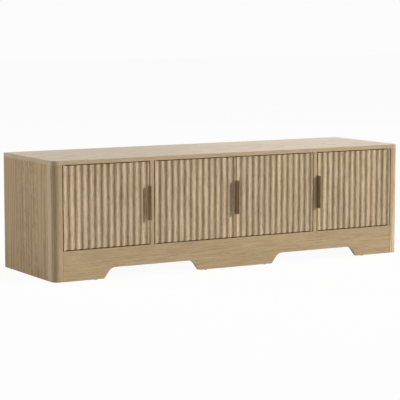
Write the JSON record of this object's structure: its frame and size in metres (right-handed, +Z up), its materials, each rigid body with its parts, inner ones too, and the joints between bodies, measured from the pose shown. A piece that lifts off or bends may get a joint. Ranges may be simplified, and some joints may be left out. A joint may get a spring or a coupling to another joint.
{
  "type": "media cabinet",
  "caption": "Low oak media cabinet with rounded corner posts, fluted hinged doors with bronze fin pulls, shelves inside and an apron with cut-out feet.",
  "frame": {"origin": "on the floor, under the middle of the whole outline, pulls included", "axes": "+X to the right as seen from the front, +Y from the doors to the back, +Z up"},
  "size_m": [1.8, 0.537, 0.518],
  "materials": {
    "oak": "matt lacquered oak veneer",
    "oak_fluted": "matt lacquered fluted oak",
    "oak_inner": "matt lacquered oak veneer, plain",
    "beech": "raw",
    "bronze": "brushed dark bronze",
    "steel": "zinc plated",
    "nylon": "matt",
    "magnet": "sintered"
  },
  "bodies": {
    "carcass": {"apron_dowels": "beech", "back_panel_screws": "steel", "bottom_panel": "oak_inner", "cam_bolts": "steel", "cam_discs": "steel", "catch_housings": "nylon", "catch_magnets": "magnet", "catch_screws": "steel", "centre_back_panel": "oak_inner", "centre_shelf": "oak_inner", "divider_screws": "steel", "floor_glides": "nylon", "frame_hinge_leaves": "steel", "frame_hinge_screws": "steel", "front_apron": "oak", "glue_blocks": "beech", "left_back_panel": "oak_inner", "left_corner_post": "oak", "left_divider": "oak", "left_shelf": "oak_inner", "left_side_panel": "oak", "rear_apron": "oak_inner", "right_back_panel": "oak_inner", "right_corner_post": "oak", "right_divider": "oak", "right_shelf": "oak_inner", "right_side_panel": "oak", "shelf_pins": "steel", "top_panel": "oak"},
    "door_1": {"door_1_hinge_leaves": "steel", "door_1_hinge_screws": "steel", "door_1_panel": "oak_fluted", "door_1_pull": "bronze", "door_1_pull_screws": "steel", "door_1_strike_plate": "steel", "door_1_strike_screw": "steel"},
    "door_2": {"door_2_hinge_leaves": "steel", "door_2_hinge_screws": "steel", "door_2_panel": "oak_fluted", "door_2_pull": "bronze", "door_2_pull_screws": "steel", "door_2_strike_plate": "steel", "door_2_strike_screw": "steel"},
    "door_3": {"door_3_hinge_leaves": "steel", "door_3_hinge_screws": "steel", "door_3_panel": "oak_fluted", "door_3_pull": "bronze", "door_3_pull_screws": "steel", "door_3_strike_plate": "steel", "door_3_strike_screw": "steel"},
    "door_4": {"door_4_hinge_leaves": "steel", "door_4_hinge_screws": "steel", "door_4_panel": "oak_fluted", "door_4_pull": "bronze", "door_4_pull_screws": "steel", "door_4_strike_plate": "steel", "door_4_strike_screw": "steel"}
  },
  "joints": [
    {"name": "door_1_hinge", "type": "hinge", "parent": "carcass", "child": "door_1", "pos_m": [-0.847, -0.241, 0.3165], "axis": [0, 0, -1], "range_deg": [0, 105]},
    {"name": "door_2_hinge", "type": "hinge", "parent": "carcass", "child": "door_2", "pos_m": [-0.408, -0.241, 0.3165], "axis": [0, 0, -1], "range_deg": [0, 105]},
    {"name": "door_3_hinge", "type": "hinge", "parent": "carcass", "child": "door_3", "pos_m": [0.408, -0.241, 0.3165], "axis": [0, 0, 1], "range_deg": [0, 105]},
    {"name": "door_4_hinge", "type": "hinge", "parent": "carcass", "child": "door_4", "pos_m": [0.847, -0.241, 0.3165], "axis": [0, 0, 1], "range_deg": [0, 105]}
  ]
}
